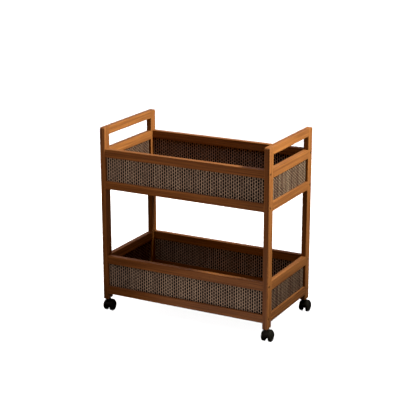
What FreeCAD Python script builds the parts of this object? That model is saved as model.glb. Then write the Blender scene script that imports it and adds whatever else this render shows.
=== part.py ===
import FreeCAD, Part
import os
import re
import Sketcher

# Two-tier rolling utility cart: bamboo frame, woven panels, tray floors and four twin-wheel casters.
# Millimetres. X runs along the cart, Y across it (front is -Y), Z up; the floor is z = 0.
# All four casters trail to the rear, so the origin is a little behind the middle of the legs.

DIMENSIONS = [
    ("cart_length", 660, "over the outer faces of the end frames"),
    ("cart_depth", 358, "over the outer faces of the legs"),
    ("cart_height", 693, "floor to the top of the handles"),
    ("cart_forward", 7, "origin to the middle of the legs, towards the front"),
    ("leg_thick", 19, "leg, along X"),
    ("leg_width", 33, "leg, along Y"),
    ("leg_floor_gap", 51, "floor to the underside of a leg"),
    ("leg_corner", 7, "radius of the outer top corner of a leg"),
    ("edge_ease", 1.2, "radius of an eased long edge"),
    ("handle_high", 29, "handle rail, along Z"),
    ("upper_base", 469.5, "floor to the underside of the upper tray"),
    ("lower_base", 72, "floor to the underside of the lower tray"),
    ("tray_high", 146, "tray frame, underside to top"),
    ("cross_high", 30.5, "cross rail, along Z"),
    ("long_high", 29, "long rail, along Z"),
    ("long_thick", 19, "long rail, along Y"),
    ("long_inset", 2.5, "long rail face behind the leg face"),
    ("tenon_thick", 9, "tenon, along X"),
    ("tenon_long", 12, "tenon, along Y"),
    ("tenon_shoulder", 5, "rail edge to tenon"),
    ("panel_thick", 2.4, "woven panel"),
    ("panel_inlay", 4, "panel edge in its groove"),
    ("board_thick", 5, "tray floor"),
    ("ledge_high", 8, "underside of a bottom rail to the ledge that holds the floor"),
    ("ledge_wide", 4.5, "width of that ledge"),
    ("bolt_inset", 12, "leg outer face to bolt axis, along Y"),
    ("bolt_radius", 2.5, "bolt shank"),
    ("bolt_long", 25, "bolt shank, under the head"),
    ("bolt_head_radius", 4.25, "bolt head"),
    ("bolt_head_high", 5, "bolt head"),
    ("bolt_sink", 1.2, "leg face to bolt head"),
    ("bolt_slack", 0.15, "radial room round shank and head"),
    ("key_radius", 2.31, "hexagon socket, centre to corner"),
    ("key_deep", 2.5, "hexagon socket"),
    ("rail_nut_radius", 4, "threaded insert in a rail end"),
    ("rail_nut_long", 14, "threaded insert in a rail end"),
    ("leg_nut_radius", 6, "threaded insert in a leg end"),
    ("leg_nut_long", 20, "threaded insert in a leg end"),
    ("stem_radius", 4, "caster stem, screw and swivel pin"),
    ("stem_screw_long", 20, "screw above the flange"),
    ("stem_pin_long", 21.5, "swivel pin below the flange"),
    ("flange_radius", 9, "stem flange"),
    ("flange_thick", 1.5, "stem flange"),
    ("ring_level", 31, "floor to the middle of the snap ring"),
    ("ring_thick", 1, "snap ring"),
    ("ring_inner", 3.3, "snap ring"),
    ("ring_outer", 4.6, "snap ring"),
    ("ring_room", 0.3, "room round the snap ring in the hood"),
    ("ring_sweep", 320, "degrees of the open snap ring"),
    ("caster_trail", 9, "swivel axis to axle"),
    ("swivel_slack", 0.06, "radial running clearance of the swivel pin"),
    ("wheel_radius", 20, "wheel tread"),
    ("wheel_wide", 9.5, "wheel"),
    ("wheel_gap", 17, "between the two wheels of a caster"),
    ("wheel_slack", 0.05, "radial running clearance on the axle"),
    ("wheel_bore_deep", 8, "blind bore of a wheel"),
    ("wheel_hub", 6, "hub radius"),
    ("wheel_rim", 15.5, "inner radius of the rim"),
    ("wheel_recess", 2.5, "recess between hub and rim"),
    ("wheel_dish", 0.9, "dish in the outer face"),
    ("wheel_dish_radius", 14, "dish in the outer face"),
    ("wheel_cap_radius", 5, "raised centre of the outer face"),
    ("tread_outer_round", 4, "tread edge radius, outer side"),
    ("tread_inner_round", 1.5, "tread edge radius, inner side"),
    ("axle_radius", 2.5, "axle"),
    ("axle_end_room", 0.2, "axle end to the bottom of the bore"),
    ("snap_deep", 0.4, "depth of the snap groove near each axle end"),
    ("snap_wide", 1.2, "width of that groove"),
    ("snap_ridge", 0.6, "width of the wheel's ridge in the groove"),
    ("snap_at", 4, "inner wheel face to the middle of the groove"),
    ("hood_radius", 23.2, "hood shield, outside"),
    ("hood_well", 20.8, "hood shield, inside"),
    ("hood_wide", 24, "hood shield, along the axle"),
    ("web_wide", 15.8, "hood web between the wheels"),
    ("web_radius", 19.5, "hood web round the axle"),
    ("web_floor_gap", 14.5, "floor to the underside of the web, below the axle"),
    ("web_lift", 4, "rise of that underside from the axle to the web's edge"),
    ("neck_radius", 9.5, "hood neck"),
    ("neck_gap", 0.3, "hood neck to stem flange"),
    ("neck_round", 1.5, "radius of the neck's top edge"),
    ("shield_back", 8, "trailing lip of the shield above the axle"),
    ("shield_front", 8, "leading lip of the shield above the axle"),
    ("shield_round", 1.2, "radius of the shield's rim"),
]
SIZES = {alias: number for alias, number, meaning in DIMENSIONS}

# Lengths worked out from the driving ones.
DERIVED = {
    "leg_x": "(cart_length - leg_thick) / 2",
    "leg_y": "(cart_depth - leg_width) / 2",
    "long_run": "cart_length - 2 * leg_thick",
    "cross_run": "cart_depth - 2 * leg_width",
    "long_y": "cart_depth / 2 - long_inset - long_thick / 2",
    "bolt_y": "cart_depth / 2 - bolt_inset",
    "bolt_seat": "cart_length / 2 - bolt_sink - bolt_head_high",
    "bolt_up": "long_high / 2",
    "stem_top": "leg_floor_gap + stem_screw_long",
    "stem_foot": "leg_floor_gap - flange_thick - stem_pin_long",
    "neck_top": "leg_floor_gap - flange_thick - neck_gap - wheel_radius",
    "socket_deep": "stem_pin_long - neck_gap + 1",
    "wheel_inner": "wheel_gap / 2",
    "axle_half": "wheel_gap / 2 + wheel_bore_deep - axle_end_room",
    "wheel_bore": "axle_radius + wheel_slack",
    "well_wide": "(hood_wide - web_wide) / 2 + 1",
    "well_x": "(web_wide + well_wide) / 2",
    "reach": "2 * hood_radius",
}

SIDES = {"left": -1, "right": 1}
ENDS = {"front": -1, "rear": 1}
TIERS = {"upper": "upper_base", "lower": "lower_base"}

document = FreeCAD.newDocument("utility_cart")
sub_parts = []


# ---------------------------------------------------------------- sheet and expressions

def write_sheet():
    """Put the driving dimensions in a spreadsheet, one aliased cell each."""
    sheet = document.addObject("Spreadsheet::Sheet", "Sizes")
    for row, (alias, number, meaning) in enumerate(DIMENSIONS, start=1):
        sheet.set(f"A{row}", meaning)
        sheet.set(f"B{row}", str(number))
        sheet.setAlias(f"B{row}", alias)
    document.recompute()


def bound(text):
    """Turn size names into an expression on the sheet, opening up the derived ones."""
    def swap(match):
        word = match.group(0)
        if word in DERIVED:
            return "(" + bound(DERIVED[word]) + ")"
        if word in SIZES:
            return "Sizes." + word
        if word == "sqrt":
            return word
        raise ValueError("no size called " + word)
    return re.sub(r"[a-z_]+", swap, str(text))


def value(text):
    """Present value of an expression, in millimetres."""
    return float(document.Sizes.evalExpression(bound(text)))


def bind(thing, name, text):
    thing.setExpression(name, bound(text))


def place(thing, x=0, y=0, z=0, turned=False):
    """Bind an object's position from the middle of the legs, after any half turn about Z."""
    if turned:
        half_turn = FreeCAD.Rotation(FreeCAD.Vector(0, 0, 1), 180)
        thing.Placement = FreeCAD.Placement(FreeCAD.Vector(), half_turn)
    bind(thing, "Placement.Base.x", x)
    bind(thing, "Placement.Base.y", f"{y} - cart_forward")
    bind(thing, "Placement.Base.z", z)


def signed(sign, text):
    return f"{sign} * ({text})"


# ---------------------------------------------------------------- bodies, sketches, features

def new_body(label):
    body = document.addObject("PartDesign::Body", label)
    body.Label = label
    return body


def new_sketch(body, name, role, offset=0):
    """Sketch on one of the body's own origin planes, moved along its normal by offset."""
    plane = next(feature for feature in body.Origin.OriginFeatures if feature.Role == role)
    sketch = body.newObject("Sketcher::SketchObject", name)
    sketch.AttachmentSupport = [(plane, "")]
    sketch.MapMode = "FlatFace"
    bind(sketch, "AttachmentOffset.Base.z", offset)
    return sketch


def fix_point(sketch, geometry, end, across, along):
    """Constrain a point of a sketch to two bound coordinates."""
    for kind, text in (("DistanceX", across), ("DistanceY", along)):
        index = sketch.addConstraint(Sketcher.Constraint(kind, -1, 1, geometry, end, value(text)))
        bind(sketch, f"Constraints[{index}]", text)


def draw_polygon(sketch, points):
    """Closed outline whose corners are pairs of expressions."""
    corners = [FreeCAD.Vector(value(across), value(along), 0) for across, along in points]
    following = corners[1:] + corners[:1]
    lines = [sketch.addGeometry(Part.LineSegment(a, b)) for a, b in zip(corners, following)]
    for line, after in zip(lines, lines[1:] + lines[:1]):
        sketch.addConstraint(Sketcher.Constraint("Coincident", line, 2, after, 1))
    for line, (across, along) in zip(lines, points):
        fix_point(sketch, line, 1, across, along)


def draw_rectangle(sketch, low_x, high_x, low_y, high_y):
    draw_polygon(sketch, [(low_x, low_y), (high_x, low_y), (high_x, high_y), (low_x, high_y)])


def draw_circle(sketch, across, along, radius):
    centre = FreeCAD.Vector(value(across), value(along), 0)
    circle = Part.Circle(centre, FreeCAD.Vector(0, 0, 1), value(radius))
    index = sketch.addGeometry(circle)
    fix_point(sketch, index, 3, across, along)
    constraint = sketch.addConstraint(Sketcher.Constraint("Radius", index, value(radius)))
    bind(sketch, f"Constraints[{constraint}]", radius)


def check_change(body, name, before, grows):
    """Recompute, and stop if the newest feature added or removed nothing."""
    document.recompute()
    change = body.Shape.Volume - before
    if (change > 0) != grows or change == 0:
        raise RuntimeError(f"{body.Label}: {name} changed the volume by {change:.3f}")


def extrude(body, sketch, length, cut=False):
    """Pad or pocket a sketch by half the length on each side of its plane."""
    before = body.Shape.Volume if body.Tip else 0
    kind = "Pocket" if cut else "Pad"
    feature = body.newObject("PartDesign::" + kind, f"{sketch.Name}_{kind.lower()}")
    feature.Profile = sketch
    feature.SideType = "Symmetric"
    bind(feature, "Length", length)
    check_change(body, feature.Name, before, not cut)


def revolve(body, sketch, axis, sweep=None):
    """Revolve a half section about the sketch's own axis."""
    feature = body.newObject("PartDesign::Revolution", f"{sketch.Name}_turn")
    feature.Profile = sketch
    feature.ReferenceAxis = (sketch, [axis])
    if sweep:
        bind(feature, "Angle", sweep)
    check_change(body, feature.Name, 0, True)


def round_edges(body, name, radius, wanted):
    """Fillet the edges of the body that the wanted test picks out."""
    document.recompute()
    tip = body.Tip
    before = tip.Shape.Volume
    picked = [f"Edge{i}" for i, edge in enumerate(tip.Shape.Edges, start=1) if wanted(edge)]
    feature = body.newObject("PartDesign::Fillet", f"{body.Name}_{name}")
    feature.Base = (tip, picked)
    bind(feature, "Radius", radius)
    check_change(body, feature.Name, before, False)


def near(a, b):
    return abs(a - b) < 1e-4


def edge_box_at(edge, **limits):
    """True where each named side of the edge's box, such as XMin, has the given value."""
    return all(near(getattr(edge.BoundBox, side), limit) for side, limit in limits.items())


def keep(thing):
    sub_parts.append(thing)
    return thing


# ---------------------------------------------------------------- end frames

def tray_rails(height):
    """Names of a tray's four rail levels, with the underside of each, for a rail of this height."""
    levels = {}
    for tier, base in TIERS.items():
        levels[tier, "top"] = f"{base} + tray_high - {height}"
        levels[tier, "bottom"] = base
    return levels


def drill_leg_for_bolts(body, side, end):
    """Four clearance holes with counterbores in the outer face, at the long rails' mid height."""
    bolt_y = signed(end, "leg_width / 2 - bolt_inset")
    holes = new_sketch(body, body.Name + "_bolt_holes", "YZ_Plane")
    sinks = new_sketch(body, body.Name + "_bolt_sinks", "YZ_Plane", signed(side, "leg_thick / 2"))
    for underside in tray_rails("long_high").values():
        level = f"{underside} + bolt_up"
        draw_circle(holes, bolt_y, level, "bolt_radius + bolt_slack")
        draw_circle(sinks, bolt_y, level, "bolt_head_radius + bolt_slack")
    extrude(body, holes, "2 * leg_thick", cut=True)
    extrude(body, sinks, "2 * (bolt_sink + bolt_head_high)", cut=True)


def groove_leg_for_panels(body, side, end):
    """Grooves for the side panels in the inner Y face and for the long panels in the inner X face."""
    inner_y = signed(-end, "leg_width / 2")
    groove_y = signed(-end, "leg_width / 2 - panel_inlay")
    long_panel_y = signed(end, "leg_width / 2 - long_inset - long_thick / 2")
    side_grooves = new_sketch(body, body.Name + "_side_grooves", "YZ_Plane")
    long_grooves = new_sketch(body, body.Name + "_long_grooves", "XZ_Plane", "-1 * " + long_panel_y)
    for base in TIERS.values():
        draw_rectangle(side_grooves, inner_y, groove_y,
                       f"{base} + cross_high - panel_inlay",
                       f"{base} + tray_high - cross_high + panel_inlay")
        draw_rectangle(long_grooves, signed(-side, "leg_thick / 2"),
                       signed(-side, "leg_thick / 2 - panel_inlay"),
                       f"{base} + long_high - panel_inlay",
                       f"{base} + tray_high - long_high + panel_inlay")
    extrude(body, side_grooves, "panel_thick", cut=True)
    extrude(body, long_grooves, "panel_thick", cut=True)


def mortise_leg(body, end):
    """Five mortises in the inner Y face, for the handle rail and the four cross rails."""
    levels = [(underside, "cross_high") for underside in tray_rails("cross_high").values()]
    levels.append(("cart_height - handle_high", "handle_high"))
    mortises = new_sketch(body, body.Name + "_mortises", "YZ_Plane")
    for underside, height in levels:
        draw_rectangle(mortises, signed(-end, "leg_width / 2"),
                       signed(-end, "leg_width / 2 - tenon_long"),
                       f"{underside} + tenon_shoulder",
                       f"{underside} + {height} - tenon_shoulder")
    extrude(body, mortises, "tenon_thick", cut=True)


def make_leg(end_name, end, side_name, side):
    body = new_body(f"{side_name}_{end_name}_leg")
    outline = new_sketch(body, body.Name + "_outline", "YZ_Plane")
    draw_rectangle(outline, "-leg_width / 2", "leg_width / 2", "leg_floor_gap", "cart_height")
    extrude(body, outline, "leg_thick")

    outer_y = end * value("leg_width / 2")
    top = value("cart_height")
    round_edges(body, "corner", "leg_corner",
                lambda edge: edge_box_at(edge, YMin=outer_y, YMax=outer_y, ZMin=top))

    def on_outer_rim(edge):
        box = edge.BoundBox
        flat = near(box.XMin, box.XMax)
        outer = near(box.YMax if end > 0 else box.YMin, outer_y)
        return flat and (outer or near(box.ZMax, top))
    round_edges(body, "eased", "edge_ease", on_outer_rim)

    mortise_leg(body, end)
    groove_leg_for_panels(body, side, end)
    drill_leg_for_bolts(body, side, end)
    nut_hole = new_sketch(body, body.Name + "_nut_hole", "XY_Plane", "leg_floor_gap")
    draw_circle(nut_hole, 0, 0, "leg_nut_radius")
    extrude(body, nut_hole, "2 * leg_nut_long", cut=True)
    place(body, signed(side, "leg_x"), signed(end, "leg_y"))
    keep(body)


def add_tenons(body, height):
    """A tongue through the rail that stands out of both ends."""
    tongue = new_sketch(body, body.Name + "_tongue", "YZ_Plane")
    draw_rectangle(tongue, "-(cross_run / 2 + tenon_long)", "cross_run / 2 + tenon_long",
                   "tenon_shoulder", f"{height} - tenon_shoulder")
    extrude(body, tongue, "tenon_thick")


def rail_section(thick, high, bottom_rail, inner):
    """Corners of a rail's section: a panel groove, and on a bottom rail a ledge for the floor.

    The section is centred across the rail, with its underside at zero; inner is the sign of the
    side that faces the tray.
    """
    half = f"{thick} / 2"
    slot = "panel_thick / 2"
    outer_face, inner_face = signed(-inner, half), signed(inner, half)
    outer_slot, inner_slot = signed(-inner, slot), signed(inner, slot)
    if not bottom_rail:
        return [(outer_face, 0), (outer_slot, 0), (outer_slot, "panel_inlay"),
                (inner_slot, "panel_inlay"), (inner_slot, 0), (inner_face, 0),
                (inner_face, high), (outer_face, high)]
    step = signed(inner, f"{half} - ledge_wide")
    groove_floor = f"{high} - panel_inlay"
    return [(outer_face, 0), (inner_face, 0), (inner_face, "ledge_high"), (step, "ledge_high"),
            (step, high), (inner_slot, high), (inner_slot, groove_floor),
            (outer_slot, groove_floor), (outer_slot, high), (outer_face, high)]


def ease_top(body, thick, height):
    """Round the long top edges where the top meets a full face of a plain extruded rail."""
    face = value(f"{thick} / 2")
    top = value(height)

    def on_long_corner(edge):
        centre = edge.BoundBox.Center
        return edge_box_at(edge, ZMin=top) and near(max(abs(centre.x), abs(centre.y)), face)
    round_edges(body, "eased", "edge_ease", on_long_corner)


def make_cross_rail(side_name, side, tier, level, underside):
    body = new_body(f"{side_name}_{tier}_{level}_cross_rail")
    section = new_sketch(body, body.Name + "_section", "XZ_Plane")
    draw_polygon(section, rail_section("leg_thick", "cross_high", level == "bottom", -side))
    extrude(body, section, "cross_run")
    ease_top(body, "leg_thick", "cross_high")
    add_tenons(body, "cross_high")
    place(body, signed(side, "leg_x"), 0, underside)
    keep(body)


def make_handle_rail(side_name, side):
    body = new_body(f"{side_name}_handle_rail")
    section = new_sketch(body, body.Name + "_section", "XZ_Plane")
    draw_rectangle(section, "-leg_thick / 2", "leg_thick / 2", 0, "handle_high")
    extrude(body, section, "cross_run")
    round_edges(body, "eased", "edge_ease", lambda edge: edge.Length > value("leg_thick + handle_high"))
    add_tenons(body, "handle_high")
    place(body, signed(side, "leg_x"), 0, "cart_height - handle_high")
    keep(body)


# ---------------------------------------------------------------- tray frames

def make_long_rail(end_name, end, tier, level, underside):
    body = new_body(f"{end_name}_{tier}_{level}_long_rail")
    section = new_sketch(body, body.Name + "_section", "YZ_Plane")
    draw_polygon(section, rail_section("long_thick", "long_high", level == "bottom", -end))
    extrude(body, section, "long_run")
    ease_top(body, "long_thick", "long_high")
    for side_name, side in SIDES.items():
        nut_hole = new_sketch(body, f"{body.Name}_{side_name}_nut_hole", "YZ_Plane",
                              signed(side, "long_run / 2"))
        draw_circle(nut_hole, signed(end, "bolt_y - long_y"), "bolt_up", "rail_nut_radius")
        extrude(body, nut_hole, "2 * rail_nut_long", cut=True)
    place(body, 0, signed(end, "long_y"), underside)
    keep(body)


def make_panel(label, length, depth, height, x, y, z):
    """Flat woven sheet, centred on x and y, with its lower edge at z."""
    panel = document.addObject("Part::Box", label)
    panel.Label = label
    bind(panel, "Length", length)
    bind(panel, "Width", depth)
    bind(panel, "Height", height)
    place(panel, f"{x} - ({length}) / 2", f"{y} - ({depth}) / 2", z)
    keep(panel)


def make_tier_panels(tier, base):
    for end_name, end in ENDS.items():
        make_panel(f"{end_name}_{tier}_panel", "long_run + 2 * panel_inlay", "panel_thick",
                   "tray_high - 2 * long_high + 2 * panel_inlay",
                   0, signed(end, "long_y"), f"{base} + long_high - panel_inlay")
    for side_name, side in SIDES.items():
        make_panel(f"{side_name}_{tier}_panel", "panel_thick", "cross_run + 2 * panel_inlay",
                   "tray_high - 2 * cross_high + 2 * panel_inlay",
                   signed(side, "leg_x"), 0, f"{base} + cross_high - panel_inlay")


def make_tray_floor(tier, base):
    """Board on the ledges of the four bottom rails, notched round the legs."""
    body = new_body(f"{tier}_tray_floor")
    reach_x, notch_x = "long_run / 2 + ledge_wide", "long_run / 2"
    reach_y, notch_y = "long_y - long_thick / 2 + ledge_wide", "cross_run / 2"
    corner = [(reach_x, notch_y), (notch_x, notch_y), (notch_x, reach_y)]
    outline = []
    for sign_x, sign_y in ((1, 1), (-1, 1), (-1, -1), (1, -1)):
        points = [(signed(sign_x, x), signed(sign_y, y)) for x, y in corner]
        outline += points if sign_x == sign_y else points[::-1]
    sketch = new_sketch(body, body.Name + "_outline", "XY_Plane", "board_thick / 2")
    draw_polygon(sketch, outline)
    extrude(body, sketch, "board_thick")
    place(body, 0, 0, f"{base} + ledge_high")
    keep(body)


# ---------------------------------------------------------------- fasteners

def make_group(label, master, spots):
    """One node of separate, identical solids: links to the master at each spot."""
    group = document.addObject("Part::Compound", label)
    group.Label = label
    links = []
    for number, (x, y, z, turned) in enumerate(spots, start=1):
        link = document.addObject("App::Link", f"{master.Name}_{number}")
        link.LinkedObject = master
        place(link, x, y, z, turned)
        links.append(link)
    group.Links = links
    keep(group)


def make_frame_bolts():
    """Socket-head bolts through the legs, head outward along +X."""
    bolt = new_body("frame_bolt")
    section = new_sketch(bolt, "frame_bolt_section", "XZ_Plane")
    draw_polygon(section, [("-bolt_long", 0), ("-bolt_long", "bolt_radius"), (0, "bolt_radius"),
                           (0, "bolt_head_radius"), ("bolt_head_high", "bolt_head_radius"),
                           ("bolt_head_high", 0)])
    revolve(bolt, section, "H_Axis")
    key = new_sketch(bolt, "frame_bolt_key", "YZ_Plane", "bolt_head_high")
    slant = "key_radius * sqrt(3) / 2"
    draw_polygon(key, [("key_radius", 0), ("key_radius / 2", slant), ("-key_radius / 2", slant),
                       ("-key_radius", 0), ("-key_radius / 2", "-" + slant),
                       ("key_radius / 2", "-" + slant)])
    extrude(bolt, key, "2 * key_deep", cut=True)
    make_group("frame_bolts", bolt, rail_end_spots("bolt_seat"))


def make_sleeve(label, axis, inner, outer, length):
    """Threaded insert, drawn as a plain sleeve that runs back from the origin along its axis."""
    body = new_body(label)
    section = new_sketch(body, label + "_section", "XZ_Plane")
    if axis == "H_Axis":
        draw_rectangle(section, f"-{length}", 0, inner, outer)
    else:
        draw_rectangle(section, inner, outer, 0, length)
    revolve(body, section, axis)
    return body


def rail_end_spots(x):
    """The sixteen bolted rail ends, at the given distance from the middle of the cart."""
    return [(signed(side, x), signed(end, "bolt_y"), f"{underside} + bolt_up", side < 0)
            for side in SIDES.values() for end in ENDS.values()
            for underside in tray_rails("long_high").values()]


def leg_spots(z):
    return [(signed(side, "leg_x"), signed(end, "leg_y"), z, end > 0)
            for side in SIDES.values() for end in ENDS.values()]


def make_inserts():
    rail_nut = make_sleeve("rail_insert", "H_Axis", "bolt_radius", "rail_nut_radius", "rail_nut_long")
    make_group("rail_inserts", rail_nut, rail_end_spots("long_run / 2"))
    leg_nut = make_sleeve("leg_insert", "V_Axis", "stem_radius", "leg_nut_radius", "leg_nut_long")
    make_group("leg_inserts", leg_nut, leg_spots("leg_floor_gap"))


# ---------------------------------------------------------------- casters

def axle_y(end):
    """The axle's place across the cart: behind the leg at both ends."""
    return signed(end, "leg_y") + " + caster_trail"


def make_stem(label, side, end):
    """Screw into the leg, flange under it and swivel pin with a groove for the snap ring."""
    body = new_body(label)
    flange_low = "leg_floor_gap - flange_thick"
    groove_low = "ring_level - ring_thick / 2"
    groove_high = "ring_level + ring_thick / 2"
    section = new_sketch(body, label + "_section", "XZ_Plane")
    draw_polygon(section, [(0, "stem_foot"), ("stem_radius", "stem_foot"),
                           ("stem_radius", groove_low), ("ring_inner", groove_low),
                           ("ring_inner", groove_high), ("stem_radius", groove_high),
                           ("stem_radius", flange_low), ("flange_radius", flange_low),
                           ("flange_radius", "leg_floor_gap"), ("stem_radius", "leg_floor_gap"),
                           ("stem_radius", "stem_top"), (0, "stem_top")])
    revolve(body, section, "V_Axis")
    place(body, signed(side, "leg_x"), signed(end, "leg_y"))
    keep(body)


def make_snap_rings():
    """Open spring rings that keep the hoods on their stems."""
    ring = new_body("snap_ring")
    section = new_sketch(ring, "snap_ring_section", "XZ_Plane")
    draw_rectangle(section, "ring_inner", "ring_outer", "-ring_thick / 2", "ring_thick / 2")
    revolve(ring, section, "V_Axis", "ring_sweep")
    make_group("stem_snap_rings", ring, leg_spots("ring_level"))


def cut_wheel_wells(body):
    """Clear the space that each wheel runs in."""
    for side_name, side in SIDES.items():
        well = new_sketch(body, f"{body.Name}_{side_name}_well", "YZ_Plane", signed(side, "well_x"))
        draw_circle(well, 0, 0, "hood_well")
        extrude(body, well, "well_wide", cut=True)


def add_hood_shield(body):
    """Upper part of a drum round the axle, cut off along a slanted lip."""
    drum = new_sketch(body, body.Name + "_drum", "YZ_Plane")
    draw_circle(drum, 0, 0, "hood_radius")
    extrude(body, drum, "hood_wide")
    lip = new_sketch(body, body.Name + "_lip", "YZ_Plane")
    draw_polygon(lip, [("-reach", "-reach"), ("reach", "-reach"),
                       ("reach", "shield_front"), ("-reach", "shield_back")])
    extrude(body, lip, "2 * hood_wide", cut=True)


def add_hood_neck(body):
    """Round neck on the swivel axis, from the axle's level up to the stem flange."""
    neck = new_sketch(body, body.Name + "_neck", "XY_Plane", "neck_top / 2")
    draw_circle(neck, 0, "caster_trail", "neck_radius")
    extrude(body, neck, "neck_top")
    top = value("neck_top")
    round_edges(body, "neck_edge", "neck_round", lambda edge: edge_box_at(edge, ZMin=top))


def add_hood_web(body):
    """Round web between the wheels, lifted underneath towards both its edges."""
    web = new_sketch(body, body.Name + "_web", "YZ_Plane")
    draw_circle(web, 0, 0, "web_radius")
    extrude(body, web, "web_wide")
    keel = new_sketch(body, body.Name + "_keel", "YZ_Plane")
    middle = "web_floor_gap - wheel_radius"
    edge = f"{middle} + web_lift * reach / web_radius"
    draw_polygon(keel, [("-reach", "-reach"), ("reach", "-reach"), ("reach", edge), (0, middle),
                        ("-reach", edge)])
    extrude(body, keel, "2 * hood_wide", cut=True)


def bore_hood(body):
    """Swivel socket with its ring groove, and the axle's bore."""
    socket = new_sketch(body, body.Name + "_socket", "XY_Plane", "neck_top")
    draw_circle(socket, 0, "caster_trail", "stem_radius + swivel_slack")
    extrude(body, socket, "2 * socket_deep", cut=True)
    ring = new_sketch(body, body.Name + "_ring_groove", "XY_Plane", "ring_level - wheel_radius")
    draw_circle(ring, 0, "caster_trail", "ring_outer + ring_room")
    extrude(body, ring, "ring_thick + 2 * ring_room", cut=True)
    bore = new_sketch(body, body.Name + "_axle_bore", "YZ_Plane")
    draw_circle(bore, 0, 0, "axle_radius")
    extrude(body, bore, "2 * web_wide", cut=True)


def make_hood(label, side, end):
    """Hood of a caster, about its axle: shield, web and neck in one moulding."""
    body = new_body(label)
    add_hood_shield(body)
    add_hood_neck(body)
    cut_wheel_wells(body)
    add_hood_web(body)
    bore_hood(body)
    rim = value("hood_wide / 2")

    def on_shield_rim(edge):
        box = edge.BoundBox
        at_side = near(box.XMin, box.XMax) and near(abs(box.XMax), rim)
        return at_side and isinstance(edge.Curve, Part.Circle) and near(edge.Curve.Radius,
                                                                        value("hood_radius"))
    round_edges(body, "rim", "shield_round", on_shield_rim)
    place(body, signed(side, "leg_x"), axle_y(end), "wheel_radius", turned=True)
    keep(body)


def make_axle(label, side, end):
    """Pin pressed through the web, with a snap groove near each end."""
    body = new_body(label)
    groove_in = "wheel_inner + snap_at - snap_wide / 2"
    groove_out = "wheel_inner + snap_at + snap_wide / 2"
    waist = "axle_radius - snap_deep"
    section = new_sketch(body, label + "_section", "XZ_Plane")
    draw_polygon(section, [("-axle_half", 0), ("-axle_half", "axle_radius"),
                           (f"-({groove_out})", "axle_radius"), (f"-({groove_out})", waist),
                           (f"-({groove_in})", waist), (f"-({groove_in})", "axle_radius"),
                           (groove_in, "axle_radius"), (groove_in, waist),
                           (groove_out, waist), (groove_out, "axle_radius"),
                           ("axle_half", "axle_radius"), ("axle_half", 0)])
    revolve(body, section, "H_Axis")
    place(body, signed(side, "leg_x"), axle_y(end), "wheel_radius")
    keep(body)


def make_wheel(label, side, end, facing):
    """Moulded wheel with a blind bore; its inner face is at zero and it faces +X before placing."""
    body = new_body(label)
    ridge_in, ridge_out = "snap_at - snap_ridge / 2", "snap_at + snap_ridge / 2"
    ridge_radius = "wheel_bore - snap_deep + wheel_slack"
    dish_floor = "wheel_wide - wheel_dish"
    section = new_sketch(body, label + "_section", "XZ_Plane")
    draw_polygon(section, [(0, "wheel_bore"), (0, "wheel_hub"), ("wheel_recess", "wheel_hub"),
                           ("wheel_recess", "wheel_rim"), (0, "wheel_rim"), (0, "wheel_radius"),
                           ("wheel_wide", "wheel_radius"), ("wheel_wide", "wheel_dish_radius"),
                           (dish_floor, "wheel_dish_radius - wheel_dish"),
                           (dish_floor, "wheel_cap_radius + wheel_dish"),
                           ("wheel_wide", "wheel_cap_radius"), ("wheel_wide", 0),
                           ("wheel_bore_deep", 0), ("wheel_bore_deep", "wheel_bore"),
                           (ridge_out, "wheel_bore"), (ridge_out, ridge_radius),
                           (ridge_in, ridge_radius), (ridge_in, "wheel_bore")])
    revolve(body, section, "H_Axis")

    def tread_edge_at(x):
        return lambda edge: (edge_box_at(edge, XMin=x, XMax=x)
                             and near(edge.Curve.Radius, value("wheel_radius")))
    round_edges(body, "outer_round", "tread_outer_round", tread_edge_at(value("wheel_wide")))
    round_edges(body, "inner_round", "tread_inner_round", tread_edge_at(0))
    place(body, f"{signed(side, 'leg_x')} + {facing} * wheel_inner",
          axle_y(end), "wheel_radius", facing < 0)
    keep(body)


def make_caster(end_name, end, side_name, side):
    name = f"{side_name}_{end_name}_caster"
    make_stem(name + "_stem", side, end)
    make_hood(name + "_hood", side, end)
    make_axle(name + "_axle", side, end)
    for wheel_name, facing in SIDES.items():
        make_wheel(f"{name}_{wheel_name}_wheel", side, end, facing)


# ---------------------------------------------------------------- the whole cart

def make_cart():
    for side_name, side in SIDES.items():
        for end_name, end in ENDS.items():
            make_leg(end_name, end, side_name, side)
        make_handle_rail(side_name, side)
        for (tier, level), underside in tray_rails("cross_high").items():
            make_cross_rail(side_name, side, tier, level, underside)
    for end_name, end in ENDS.items():
        for (tier, level), underside in tray_rails("long_high").items():
            make_long_rail(end_name, end, tier, level, underside)
    for tier, base in TIERS.items():
        make_tier_panels(tier, base)
        make_tray_floor(tier, base)
    make_frame_bolts()
    make_inserts()
    make_snap_rings()
    for end_name, end in ENDS.items():
        for side_name, side in SIDES.items():
            make_caster(end_name, end, side_name, side)


def check_document():
    """Stop if any object failed, or any sub-part is empty or invalid."""
    document.recompute()
    for thing in document.Objects:
        if "Invalid" in thing.State or "Error" in thing.State:
            raise RuntimeError(f"{thing.Label} failed: {thing.State}")
    for part in sub_parts:
        if part.Shape.isNull() or not part.Shape.isValid() or not part.Shape.Solids:
            raise RuntimeError(part.Label + " has no valid solid")


def write_parts():
    os.makedirs("parts", exist_ok=True)
    for part in sub_parts:
        part.Shape.exportStep(f"parts/{part.Label}.step")
    print(len(sub_parts), "sub-parts written")


write_sheet()
make_cart()
check_document()
write_parts()
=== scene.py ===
import math
import random

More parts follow.
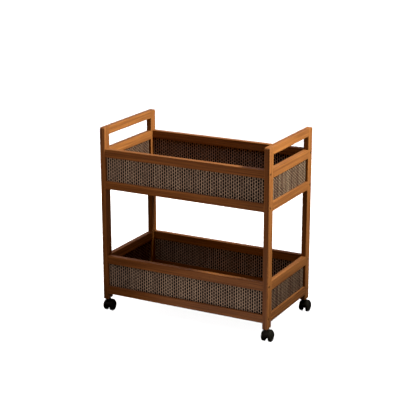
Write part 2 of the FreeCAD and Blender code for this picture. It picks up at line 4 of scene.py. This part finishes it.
import bmesh
import bpy
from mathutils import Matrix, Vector


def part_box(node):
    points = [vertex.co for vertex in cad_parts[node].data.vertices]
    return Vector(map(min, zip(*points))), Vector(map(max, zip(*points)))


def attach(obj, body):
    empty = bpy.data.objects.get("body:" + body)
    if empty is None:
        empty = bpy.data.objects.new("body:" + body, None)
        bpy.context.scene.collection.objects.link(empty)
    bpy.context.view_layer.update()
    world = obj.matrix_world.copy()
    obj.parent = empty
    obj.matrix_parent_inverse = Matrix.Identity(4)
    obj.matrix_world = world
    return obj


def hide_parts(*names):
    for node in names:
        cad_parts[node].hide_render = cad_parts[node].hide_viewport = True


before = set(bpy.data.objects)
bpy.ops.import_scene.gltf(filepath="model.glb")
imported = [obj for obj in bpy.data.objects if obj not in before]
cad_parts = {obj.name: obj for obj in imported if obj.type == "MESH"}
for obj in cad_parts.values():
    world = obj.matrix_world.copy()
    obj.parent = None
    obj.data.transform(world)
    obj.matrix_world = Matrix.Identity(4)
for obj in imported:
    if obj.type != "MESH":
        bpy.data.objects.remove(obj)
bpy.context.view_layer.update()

# Metres throughout, in the cart's own frame: X along it, Y from front to rear, Z up from the floor.
# Azimuths are degrees round from the front towards the right, and elevations degrees above level.
# Colours are linear red, green and blue.

TIERS = ("upper", "lower")
PANEL_PLACES = ("front", "rear", "left", "right")

# Camera
CAMERA_TARGET = Vector((0.0073, -0.007, 0.3963))
CAMERA_AZIMUTH = 27.7
CAMERA_ELEVATION = 16.68
CAMERA_DISTANCE = 4.438
CAMERA_LENS = 106.99        # millimetres, on a sensor 36 mm wide
CAMERA_REACH = 100.0        # how far away the camera still sees

# Weave
COLUMN_PITCH = 0.0088       # from one column of holes to the next
ROW_PITCH = 0.0119          # from one hole to the next in a column
STRAND_WIDE = 0.0034
STRAND_WAVE = 0.0006        # how far a strand swings to each side
STRAND_FOOT = 0.00015       # where a strand starts, inside the backing
STRAND_CROWN = 0.00115      # a strand's highest line, from the middle of the panel
STEPS_PER_ROW = 8           # lengths of strand from one hole to the next
TIE_HIGH = 0.0018
TIE_CROWN = 0.0005
TIE_ROOT = STRAND_WIDE / 4  # from a strand's middle to where a tie starts
BACKING_HALF = 0.00025      # half of the backing's thickness
# The inside and end ranges are lower: painted shade for the trays' insides and the ends, over a random
# tone per strand.
STRAND_TONES_WITH_PAINTED_SHADE = {            # shades of the strands, from 0 for dark to 1 for light
    ("long", "outside"): (0.60, 1.00),
    ("long", "inside"): (0.42, 0.66),
    ("end", "outside"): (0.00, 0.34),
    ("end", "inside"): (0.00, 0.10),
}

# A domed section, as pairs of position across (-1 to 1) and height above the foot (0 to 1).
DOME = ((-1.0, 0.0), (-0.92, 0.45), (-0.5, 0.88), (0.0, 1.0), (0.5, 0.88), (0.92, 0.45), (1.0, 0.0))

# Bamboo
BAMBOO_DEEP = (0.130, 0.039, 0.0100)
BAMBOO_LIGHT = (0.205, 0.076, 0.0200)
SLAT_WIDE = 0.0065
FLOOR_SLAT_WIDE = 0.020
FLOOR_TONE = 0.85           # the tray floors' colour beside the boards'
BOARD_SHIFT = 7.0           # spreads the boards through one long pattern, so that no two are alike
FIBRE_SCALES = (9.0, 1100.0)    # fineness of a pattern, along the grain and across it
STREAK_SCALES = (3.0, 210.0)
CLOUD_SCALES = (5.0, 24.0)
FIBRE_SHADES = (0.76, 1.20)     # darkest and brightest factors on the colour
STREAK_SHADES = (0.72, 1.22)
CLOUD_SHADES = (0.93, 1.07)
SLAT_SHADES = (0.93, 1.07)
STAIN_SHADES = (0.62, 1.45)     # all factors together, where the colour is deep and where it is light
KNUCKLE_PITCH = 0.26        # from one knuckle of the cane to the next along a slat
KNUCKLE_HALF = 0.006        # half of a knuckle's width, in parts of that pitch
KNUCKLE_DARK = 0.22         # how much of the colour a knuckle takes away
KNUCKLE_DEEP = 0.4          # a knuckle's depth beside the fibres' relief

# Other finishes. Each pair of colours is a darkest and a lightest.
STRAND_FIBRE_SCALES = (1800.0, 1800.0, 60.0)    # along X, Y and Z
# The strands' darker colours also serve as painted shade inside the trays and on the ends.
STRAND_COLOURS = ((0.085, 0.036, 0.024), (0.420, 0.291, 0.206))
# Near-black backing: painted shade for what shows through the weave's holes.
BACKING_PAINTED_SHADE_COLOURS = ((0.002, 0.0012, 0.0009), (0.006, 0.0036, 0.0025))
NYLON_COLOURS = ((0.008, 0.0068, 0.0056), (0.015, 0.0128, 0.0104))
DUST_COLOUR = (0.022, 0.019, 0.016)
BOLT_COLOURS = ((0.06, 0.042, 0.026), (0.13, 0.10, 0.07))
ZINC_COLOURS = ((0.42, 0.41, 0.36), (0.60, 0.58, 0.52))
BLACK_STEEL_COLOURS = ((0.035, 0.033, 0.031), (0.07, 0.066, 0.062))
HOOD_ROUGHNESS = 0.30       # at its smoothest
WHEEL_ROUGHNESS = 0.42
TREAD_FACING = (0.25, 0.6)  # how far a surface faces along the axle, from dusty to clean
SMEAR_RANGE = (0.4, 0.65)   # values of the smears, from least dust to most
DUST_SHARE = (0.1, 0.7)     # how much of a tread's colour is dust there

NOISE_RANGE = (0.3, 0.7)    # where most values of a noise lie
CLOUD_RANGE = (0.25, 0.75)  # the same for the bamboo's clouds
UNIT_RANGE = (0.0, 1.0)

# Studio
FLOOR_HALF = 30.0
FLOOR_COLOURS = ((0.86, 0.86, 0.86), (0.8428, 0.8428, 0.8428))
BACKDROP_RADIUS = 28.0
FLOOR_WASH_STRENGTH = 3.6
SKY_COLOUR = (1.0, 0.91, 0.97)
SKY_STRENGTH = 0.88         # straight above
SKY_FADE = (0.25, 0.9)      # heights of the sky between which it grows to that
REAR_STRENGTH = 0.1         # straight behind
REAR_FADE = (0.2, 0.9)
KEY_AIM = Vector((0.33, -0.02, 0.95))
KEY_AZIMUTH = 97.0
KEY_ELEVATION = 35.0
KEY_DISTANCE = 2.2
KEY_RADIUS = 0.22
KEY_CONE = 38.0             # degrees across
KEY_WATTS = 1110.0
KEY_COLOUR = (1.0, 1.06, 0.86)
CARD_COLOUR = (1.0, 0.90, 0.80)
BLACK_LEVEL = 0.0015        # scene light that shows as black


# ---------------------------------------------------------------- shader helpers

def rgba(colour, tone=1.0):
    return (*[part * tone for part in colour], 1.0)


class Shader:
    """A new material's node tree, with short ways to add and link nodes."""

    def __init__(self, name):
        self.material = bpy.data.materials.new(name)
        self.material.use_nodes = True
        self.tree = self.material.node_tree
        self.surface = self.tree.nodes["Principled BSDF"]

    def add(self, kind, **settings):
        node = self.tree.nodes.new("ShaderNode" + kind)
        for name, setting in settings.items():
            setattr(node, name, setting)
        return node

    def feed(self, socket, source):
        """Link a socket from another node's output, or set it to a plain value."""
        if isinstance(source, bpy.types.NodeSocket):
            self.tree.links.new(source, socket)
        else:
            socket.default_value = source

    def place(self):
        """The point's place on the piece."""
        return self.add("TexCoord").outputs["Object"]

    def calculate(self, operation, *sources):
        node = self.add("Math", operation=operation)
        for socket, source in zip(node.inputs, sources):
            self.feed(socket, source)
        return node.outputs[0]

    def split(self, vector):
        node = self.add("SeparateXYZ")
        self.feed(node.inputs[0], vector)
        return list(node.outputs)

    def combine(self, x, y, z):
        node = self.add("CombineXYZ")
        for socket, source in zip(node.inputs, (x, y, z)):
            self.feed(socket, source)
        return node.outputs[0]

    def stretch(self, vector, scales):
        node = self.add("VectorMath", operation="MULTIPLY")
        self.feed(node.inputs[0], vector)
        self.feed(node.inputs[1], scales)
        return node.outputs[0]

    def noise(self, vector, scale=1.0, detail=3.0, roughness=0.5):
        node = self.add("TexNoise")
        self.feed(node.inputs["Vector"], vector)
        node.inputs["Scale"].default_value = scale
        node.inputs["Detail"].default_value = detail
        node.inputs["Roughness"].default_value = roughness
        return node.outputs["Fac"]

    def cell_number(self, vector):
        """A random number for each whole-number cell."""
        node = self.add("TexWhiteNoise")
        self.feed(node.inputs["Vector"], vector)
        return node.outputs["Value"]

    def remap(self, source, old, new, smooth=False):
        """A value carried from one range of numbers to another, and held at its ends."""
        node = self.add("MapRange", interpolation_type="SMOOTHSTEP" if smooth else "LINEAR")
        node.inputs["From Min"].default_value, node.inputs["From Max"].default_value = old
        node.inputs["To Min"].default_value, node.inputs["To Max"].default_value = new
        self.feed(node.inputs["Value"], source)
        return node.outputs[0]

    def mix(self, factor, first, second, blend="MIX"):
        node = self.add("Mix", data_type="RGBA", blend_type=blend)
        self.feed(node.inputs["Factor"], factor)
        self.feed(node.inputs[6], first)
        self.feed(node.inputs[7], second)
        return node.outputs[2]

    def between(self, factor, colours):
        """From the first colour of a pair at 0 to the second at 1."""
        return self.mix(factor, rgba(colours[0]), rgba(colours[1]))

    def shaded(self, colour, value):
        """A colour made brighter or darker by a factor."""
        return self.mix(1.0, colour, self.combine(value, value, value), blend="MULTIPLY")

    def bump(self, height, strength, distance):
        node = self.add("Bump")
        node.inputs["Strength"].default_value = strength
        node.inputs["Distance"].default_value = distance
        self.feed(node.inputs["Height"], height)
        self.feed(self.surface.inputs["Normal"], node.outputs[0])

    def finish(self, **sources):
        """Feed the shader's own sockets, by name with _ for a space."""
        for name, source in sources.items():
            self.feed(self.surface.inputs[name.replace("_", " ")], source)
        return self.material


# ---------------------------------------------------------------- materials

def bamboo(name, grain, tone=1.0, slat_wide=SLAT_WIDE):
    """Stained laminated bamboo under a satin lacquer, with its fibres along the axis called grain."""
    shader = Shader(name)
    coordinates = shader.split(shader.place())
    along = coordinates.pop("XYZ".index(grain))
    board = shader.add("ObjectInfo").outputs["Random"]
    shift = shader.calculate("MULTIPLY", board, BOARD_SHIFT)
    along = shader.calculate("ADD", along, shift)
    across = [shader.calculate("ADD", coordinate, shift) for coordinate in coordinates]

    def stretched(lengthwise, crosswise):
        return shader.combine(shader.calculate("MULTIPLY", along, lengthwise),
                              *[shader.calculate("MULTIPLY", side, crosswise) for side in across])

    fibres = shader.noise(stretched(*FIBRE_SCALES), detail=4.0, roughness=0.6)
    streaks = shader.noise(stretched(*STREAK_SCALES), detail=3.0)
    clouds = shader.noise(stretched(*CLOUD_SCALES), detail=2.0)
    cells = [shader.calculate("FLOOR", shader.calculate("DIVIDE", side, slat_wide)) for side in across]
    slat = shader.cell_number(shader.combine(0.0, *cells))

    # Knuckles of the cane: a thin dark line across each slat, at its own place along it.
    pitches = shader.calculate("DIVIDE", along, KNUCKLE_PITCH)
    turn = shader.calculate("FRACT", shader.calculate("ADD", pitches, slat))
    off_knuckle = shader.calculate("ABSOLUTE", shader.calculate("SUBTRACT", turn, 0.5))
    knuckle = shader.remap(off_knuckle, (0.0, KNUCKLE_HALF), (1.0, 0.0), smooth=True)
    darkening = shader.calculate("MULTIPLY", knuckle, KNUCKLE_DARK)

    value = shader.remap(fibres, NOISE_RANGE, FIBRE_SHADES)
    for factor in (shader.remap(streaks, NOISE_RANGE, STREAK_SHADES),
                   shader.remap(slat, UNIT_RANGE, SLAT_SHADES),
                   shader.remap(clouds, CLOUD_RANGE, CLOUD_SHADES),
                   shader.calculate("SUBTRACT", 1.0, darkening)):
        value = shader.calculate("MULTIPLY", value, factor)
    stain = shader.mix(shader.remap(value, STAIN_SHADES, UNIT_RANGE),
                       rgba(BAMBOO_DEEP, tone), rgba(BAMBOO_LIGHT, tone))

    height = shader.calculate("ADD", shader.calculate("MULTIPLY", fibres, 0.5),
                              shader.calculate("MULTIPLY", streaks, 0.5))
    groove = shader.calculate("MULTIPLY", knuckle, KNUCKLE_DEEP)
    shader.bump(shader.calculate("SUBTRACT", height, groove), strength=0.35, distance=0.0002)
    return shader.finish(Base_Color=shader.shaded(stain, value),
                         Roughness=shader.remap(fibres, NOISE_RANGE, (0.46, 0.62)),
                         Specular_IOR_Level=0.2)


def woven_strand():
    """Taupe strand with fibres along Z. The tone attribute differs from strand to strand at random,
    and is lower inside the trays and on the end panels as painted shade.
    """
    shader = Shader("woven_strand")
    place = shader.place()
    fibres = shader.noise(shader.stretch(place, STRAND_FIBRE_SCALES), detail=3.0)
    patches = shader.noise(place, scale=35.0, detail=2.0)
    value = shader.calculate("MULTIPLY", shader.remap(fibres, NOISE_RANGE, (0.64, 1.26)),
                             shader.remap(patches, NOISE_RANGE, (0.9, 1.1)))
    tone = shader.add("Attribute", attribute_name="tone").outputs["Fac"]
    # The tone mixes the strand's own random shade with painted shade on the inner and end faces.
    dye_and_painted_shade = shader.between(tone, STRAND_COLOURS)
    shader.bump(fibres, strength=0.4, distance=0.0002)
    return shader.finish(Base_Color=shader.shaded(dye_and_painted_shade, value),
                         Roughness=shader.remap(fibres, NOISE_RANGE, (0.42, 0.6)),
                         Specular_IOR_Level=0.4)


def painted_shade_backing():
    """Near-black sheet behind the strands: painted shade for the dark that shows through the weave's
    holes.
    """
    shader = Shader("painted_shade_backing")
    threads = shader.noise(shader.place(), scale=900.0, detail=2.0)
    shader.bump(threads, strength=0.5, distance=0.0002)
    return shader.finish(Base_Color=shader.between(threads, BACKING_PAINTED_SHADE_COLOURS), Roughness=0.85,
                         Specular_IOR_Level=0.1)


def moulded_black(name, roughness, dusty):
    """Black nylon with a fine moulded grain. A dusty one is greyer where it faces across the axle."""
    shader = Shader(name)
    place = shader.place()
    grain = shader.noise(place, scale=1400.0, detail=2.0)
    smears = shader.noise(place, scale=60.0, detail=4.0)
    colour = shader.between(smears, NYLON_COLOURS)
    if dusty:
        normal = shader.split(shader.add("TexCoord").outputs["Normal"])
        along_axle = shader.calculate("ABSOLUTE", normal[0])
        tread = shader.calculate("MULTIPLY",
                                 shader.remap(along_axle, TREAD_FACING, (1.0, 0.0), smooth=True),
                                 shader.remap(smears, SMEAR_RANGE, DUST_SHARE))
        colour = shader.mix(tread, colour, rgba(DUST_COLOUR))
    shader.bump(grain, strength=0.25, distance=0.0001)
    return shader.finish(Base_Color=colour,
                         Roughness=shader.remap(smears, NOISE_RANGE, (roughness, roughness + 0.14)),
                         Specular_IOR_Level=0.1)


def metal(name, colours, roughness):
    """Plated steel, a little uneven."""
    shader = Shader(name)
    place = shader.place()
    spots = shader.noise(place, scale=420.0, detail=4.0)
    scratches = shader.noise(shader.stretch(place, (1.0, 1.0, 12.0)), scale=800.0)
    shader.bump(scratches, strength=0.2, distance=0.0001)
    return shader.finish(Base_Color=shader.between(spots, colours), Metallic=1.0,
                         Roughness=shader.remap(spots, NOISE_RANGE, (roughness, roughness + 0.15)))


def assign(node, material):
    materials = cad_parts[node].data.materials
    materials.clear()
    materials.append(material)


def grain_of(node):
    """The axis along which a board's node is longest."""
    low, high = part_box(node)
    size = high - low
    return "XYZ"[list(size).index(max(size))]


def dress_cad_nodes():
    """Give every CAD node that stays in view its material."""
    boards = {axis: bamboo("bamboo_along_" + axis.lower(), axis) for axis in "XYZ"}
    finishes = {
        ("_tray_floor",): bamboo("bamboo_floor", "X", FLOOR_TONE, FLOOR_SLAT_WIDE),
        ("_bolts",): metal("bronzed_bolt", BOLT_COLOURS, roughness=0.32),
        ("_inserts",): metal("zinc_plate", ZINC_COLOURS, roughness=0.30),
        ("_stem", "_axle", "_rings"): metal("black_steel", BLACK_STEEL_COLOURS, roughness=0.34),
        ("_hood",): moulded_black("hood_nylon", HOOD_ROUGHNESS, dusty=False),
        ("_wheel",): moulded_black("wheel_nylon", WHEEL_ROUGHNESS, dusty=True),
    }
    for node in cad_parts:
        if node.endswith(("_leg", "_rail")):
            assign(node, boards[grain_of(node)])
        for endings, material in finishes.items():
            if node.endswith(endings):
                assign(node, material)


# ---------------------------------------------------------------- objects

def new_object(name, data):
    thing = bpy.data.objects.new(name, data)
    bpy.context.scene.collection.objects.link(thing)
    return thing


def towards(azimuth, elevation):
    """Unit vector in a direction given in degrees."""
    azimuth, elevation = math.radians(azimuth), math.radians(elevation)
    return Vector((math.sin(azimuth) * math.cos(elevation),
                   -math.cos(azimuth) * math.cos(elevation),
                   math.sin(elevation)))


def facing(direction):
    """The turn that points a camera or a light along a direction."""
    return direction.to_track_quat("-Z", "Y").to_euler()


# ---------------------------------------------------------------- woven panels

class Panel:
    """Places points of a weave in a panel's own node box: u along it, v up it, w out of its face."""

    def __init__(self, node):
        low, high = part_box(node)
        size = high - low
        self.along_x = size.x > size.y
        self.length = size.x if self.along_x else size.y
        self.height = size.z
        self.foot = Vector(((low.x + high.x) / 2, (low.y + high.y) / 2, low.z))
        self.outward = math.copysign(1, self.foot.y if self.along_x else self.foot.x)

    def point(self, u, v, w):
        flat = (u, w) if self.along_x else (w, u)
        return self.foot + Vector((flat[0], flat[1], v))

    def tone_range_with_painted_shade(self, face):
        """The range of strand shades on one face, lower inside the trays and on the end panels as
        painted shade.
        """
        return STRAND_TONES_WITH_PAINTED_SHADE["long" if self.along_x else "end",
                            "outside" if face == self.outward else "inside"]


def add_tube(mesh, rings):
    """Closed solid through a list of rings of points, all with the same count."""
    loops = [[mesh.verts.new(point) for point in ring] for ring in rings]
    count = len(loops[0])
    for first, second in zip(loops, loops[1:]):
        for i in range(count):
            j = (i + 1) % count
            mesh.faces.new((first[i], first[j], second[j], second[i]))
    mesh.faces.new(loops[0][::-1])
    mesh.faces.new(loops[-1])
    return [vertex for loop in loops for vertex in loop]


def strand_centre(column, v):
    """Where a strand's middle is along the panel: neighbours swing opposite ways."""
    swing = STRAND_WAVE * math.sin(2 * math.pi * v / ROW_PITCH + math.pi * column)
    return column * COLUMN_PITCH + swing


def add_strand(mesh, panel, column, face):
    """One waved strand from the panel's foot to its top."""
    steps = round(panel.height / ROW_PITCH * STEPS_PER_ROW)
    rings = []
    for step in range(steps + 1):
        v = panel.height * step / steps
        centre = strand_centre(column, v)
        rings.append([panel.point(centre + across * STRAND_WIDE / 2, v,
                                  face * (STRAND_FOOT + rise * (STRAND_CROWN - STRAND_FOOT)))
                      for across, rise in DOME])
    return add_tube(mesh, rings)


def add_tie(mesh, panel, column, v, face):
    """Short bridge from one strand to the next where they swing together."""
    start = strand_centre(column, v) + TIE_ROOT
    end = strand_centre(column + 1, v) - TIE_ROOT
    rings = [[panel.point(u, v + across * TIE_HIGH / 2,
                          face * (STRAND_FOOT + rise * (TIE_CROWN - STRAND_FOOT)))
              for across, rise in DOME]
             for u in (start, (start + end) / 2, end)]
    return add_tube(mesh, rings)


def tie_heights(panel, column):
    """Where a strand and the next one swing towards each other.

    That is a quarter of a row up for an even column, and half a row later for an odd one.
    """
    half_rows = int(panel.height / ROW_PITCH * 2)
    for half_row in range(column % 2, half_rows + 1, 2):
        v = (half_row + 0.5) * ROW_PITCH / 2
        if v + TIE_HIGH / 2 < panel.height:
            yield v


def add_backing(mesh, panel):
    """Thin sheet in the middle of the panel, over the whole of it. Its near-black colour is painted
    shade behind the holes.
    """
    half = panel.length / 2
    outline = ((-half, -BACKING_HALF), (half, -BACKING_HALF),
               (half, BACKING_HALF), (-half, BACKING_HALF))
    add_tube(mesh, [[panel.point(u, v, w) for u, w in outline] for v in (0.0, panel.height)])


def weave(node):
    """The visible piece for one woven panel: a near-black backing sheet, painted shade in the holes,
    with strands and ties on both faces.
    """
    panel = Panel(node)
    mesh = bmesh.new()
    tone = mesh.verts.layers.float.new("tone")
    columns = int((panel.length - STRAND_WIDE - 2 * STRAND_WAVE) / COLUMN_PITCH / 2)
    shades = random.Random(node)
    for face in (-1, 1):
        tone_range_with_painted_shade = panel.tone_range_with_painted_shade(face)
        for column in range(-columns, columns + 1):
            # Each strand's tone is random within a range that painted shade lowers inside the trays
            # and on the ends.
            tone_with_painted_shade = shades.uniform(*tone_range_with_painted_shade)
            vertices = add_strand(mesh, panel, column, face)
            if column < columns:
                for v in tie_heights(panel, column):
                    vertices += add_tie(mesh, panel, column, v, face)
            for vertex in vertices:
                vertex[tone] = tone_with_painted_shade
    strand_faces = len(mesh.faces)
    add_backing(mesh, panel)
    mesh.faces.ensure_lookup_table()
    for index, surface in enumerate(mesh.faces):
        surface.smooth = index < strand_faces
        surface.material_index = 0 if index < strand_faces else 1
    bmesh.ops.recalc_face_normals(mesh, faces=mesh.faces)
    data = bpy.data.meshes.new(node + "_weave")
    mesh.to_mesh(data)
    mesh.free()
    return new_object(node + "_weave", data)


def make_woven_panels():
    strand, backing = woven_strand(), painted_shade_backing()
    for tier in TIERS:
        for place in PANEL_PLACES:
            node = f"{place}_{tier}_panel"
            piece = weave(node)
            piece.data.materials.append(strand)
            piece.data.materials.append(backing)
            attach(piece, "root")
            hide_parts(node)


# ---------------------------------------------------------------- studio

def make_camera():
    """Long lens that looks down a little on the front and the right end."""
    data = bpy.data.cameras.new("camera")
    data.lens = CAMERA_LENS
    data.clip_end = CAMERA_REACH
    camera = new_object("camera", data)
    back = towards(CAMERA_AZIMUTH, CAMERA_ELEVATION)
    camera.location = CAMERA_TARGET + CAMERA_DISTANCE * back
    camera.rotation_euler = facing(-back)
    bpy.context.scene.camera = camera


def make_floor():
    """Wide pale studio floor, which puts no light of its own on the cart."""
    half = FLOOR_HALF
    data = bpy.data.meshes.new("studio_floor")
    data.from_pydata([(-half, -half, 0), (half, -half, 0), (half, half, 0), (-half, half, 0)],
                     [], [(0, 1, 2, 3)])
    floor = new_object("studio_floor", data)
    shader = Shader("studio_floor")
    mottle = shader.noise(shader.place(), scale=3.0)
    colour = shader.between(mottle, FLOOR_COLOURS)
    data.materials.append(shader.finish(Base_Color=colour, Roughness=0.9))
    floor.visible_diffuse = False
    floor.visible_glossy = False
    return floor


def make_backdrop():
    """Pale dome far round the cart, which only the camera sees."""
    mesh = bmesh.new()
    bmesh.ops.create_uvsphere(mesh, u_segments=48, v_segments=24, radius=BACKDROP_RADIUS)
    data = bpy.data.meshes.new("studio_backdrop")
    mesh.to_mesh(data)
    mesh.free()
    backdrop = new_object("studio_backdrop", data)
    shader = Shader("studio_backdrop")
    data.materials.append(shader.finish(Base_Color=(0.0, 0.0, 0.0, 1.0), Specular_IOR_Level=0.0,
                                        Emission_Color=(1.0, 1.0, 1.0, 1.0), Emission_Strength=1.0))
    backdrop.visible_diffuse = False
    backdrop.visible_glossy = False
    backdrop.visible_transmission = False
    backdrop.visible_shadow = False


def make_world():
    """Soft light from above that fades towards the horizon, stronger behind the cart."""
    world = bpy.data.worlds.new("studio")
    world.use_nodes = True
    bpy.context.scene.world = world
    tree = world.node_tree
    background = tree.nodes["Background"]
    direction = tree.nodes.new("ShaderNodeTexCoord").outputs["Generated"]
    split = tree.nodes.new("ShaderNodeSeparateXYZ")
    tree.links.new(direction, split.inputs[0])

    def fade(source, heights, strength):
        node = tree.nodes.new("ShaderNodeMapRange")
        node.interpolation_type = "SMOOTHSTEP"
        node.inputs["From Min"].default_value, node.inputs["From Max"].default_value = heights
        node.inputs["To Max"].default_value = strength
        tree.links.new(source, node.inputs["Value"])
        return node.outputs[0]

    total = tree.nodes.new("ShaderNodeMath")
    total.operation = "ADD"
    tree.links.new(fade(split.outputs["Z"], SKY_FADE, SKY_STRENGTH), total.inputs[0])
    tree.links.new(fade(split.outputs["Y"], REAR_FADE, REAR_STRENGTH), total.inputs[1])
    tree.links.new(total.outputs[0], background.inputs["Strength"])
    background.inputs["Color"].default_value = rgba(SKY_COLOUR)


def make_key_light(floor):
    """Soft spot from above, to the right and a little behind. It doesn't reach the floor."""
    data = bpy.data.lights.new("key", "SPOT")
    data.shadow_soft_size = KEY_RADIUS
    data.spot_size = math.radians(KEY_CONE)
    data.spot_blend = 1.0
    data.energy = KEY_WATTS
    data.color = KEY_COLOUR
    key = new_object("key", data)
    key.location = KEY_AIM + KEY_DISTANCE * towards(KEY_AZIMUTH, KEY_ELEVATION)
    key.rotation_euler = facing(KEY_AIM - key.location)
    spared = bpy.data.collections.new("not_lit_by_key")
    spared.objects.link(floor)
    key.light_linking.receiver_collection = spared
    spared.collection_objects[0].light_linking.link_state = "EXCLUDE"


def make_soft_card(name, size, watts, place, aim, in_reflections=False):
    """Rectangular soft light that the camera doesn't see, and reflections only where asked."""
    data = bpy.data.lights.new(name, "AREA")
    data.shape = "RECTANGLE"
    data.size, data.size_y = size
    data.energy = watts
    data.color = CARD_COLOUR
    card = new_object(name, data)
    card.location = place
    card.rotation_euler = facing(Vector(aim) - card.location)
    card.visible_camera = False
    card.visible_glossy = in_reflections


def make_floor_wash(floor):
    """Even light that only the floor receives, so that it stays pale round the cart."""
    data = bpy.data.lights.new("floor_wash", "SUN")
    data.energy = FLOOR_WASH_STRENGTH
    data.use_shadow = False
    wash = new_object("floor_wash", data)
    lit = bpy.data.collections.new("lit_by_floor_wash")
    lit.objects.link(floor)
    wash.light_linking.receiver_collection = lit


def set_tone_curve():
    """Show the scene's light as it is, with its very darkest part taken down to black."""
    view = bpy.context.scene.view_settings
    view.view_transform = "Standard"
    view.use_curve_mapping = True
    view.curve_mapping.black_level = (BLACK_LEVEL, BLACK_LEVEL, BLACK_LEVEL)
    view.curve_mapping.update()


make_camera()
make_world()
studio_floor = make_floor()
make_key_light(studio_floor)
make_floor_wash(studio_floor)
# Light that comes up in front of the right half, as a pale floor would send it. It aims a hair off
# straight up, which settles how the card is turned.
make_soft_card("floor_card", size=(0.8, 0.5), watts=1.9, place=(0.22, -0.50, 0.004),
               aim=(0.22, -0.499, 1.0), in_reflections=True)
# A narrow strip that lifts the upper tray's front.
make_soft_card("front_strip", size=(0.8, 0.12), watts=1.25, place=(-0.12, -0.60, 0.60),
               aim=(-0.12, -0.18, 0.64))
# Fill for the rear and left sides.
make_soft_card("rear_fill", size=(1.4, 1.0), watts=26.0, place=(-1.35, 1.35, 0.90),
               aim=(0.0, 0.0, 0.40))
make_backdrop()
dress_cad_nodes()
make_woven_panels()
set_tone_curve()
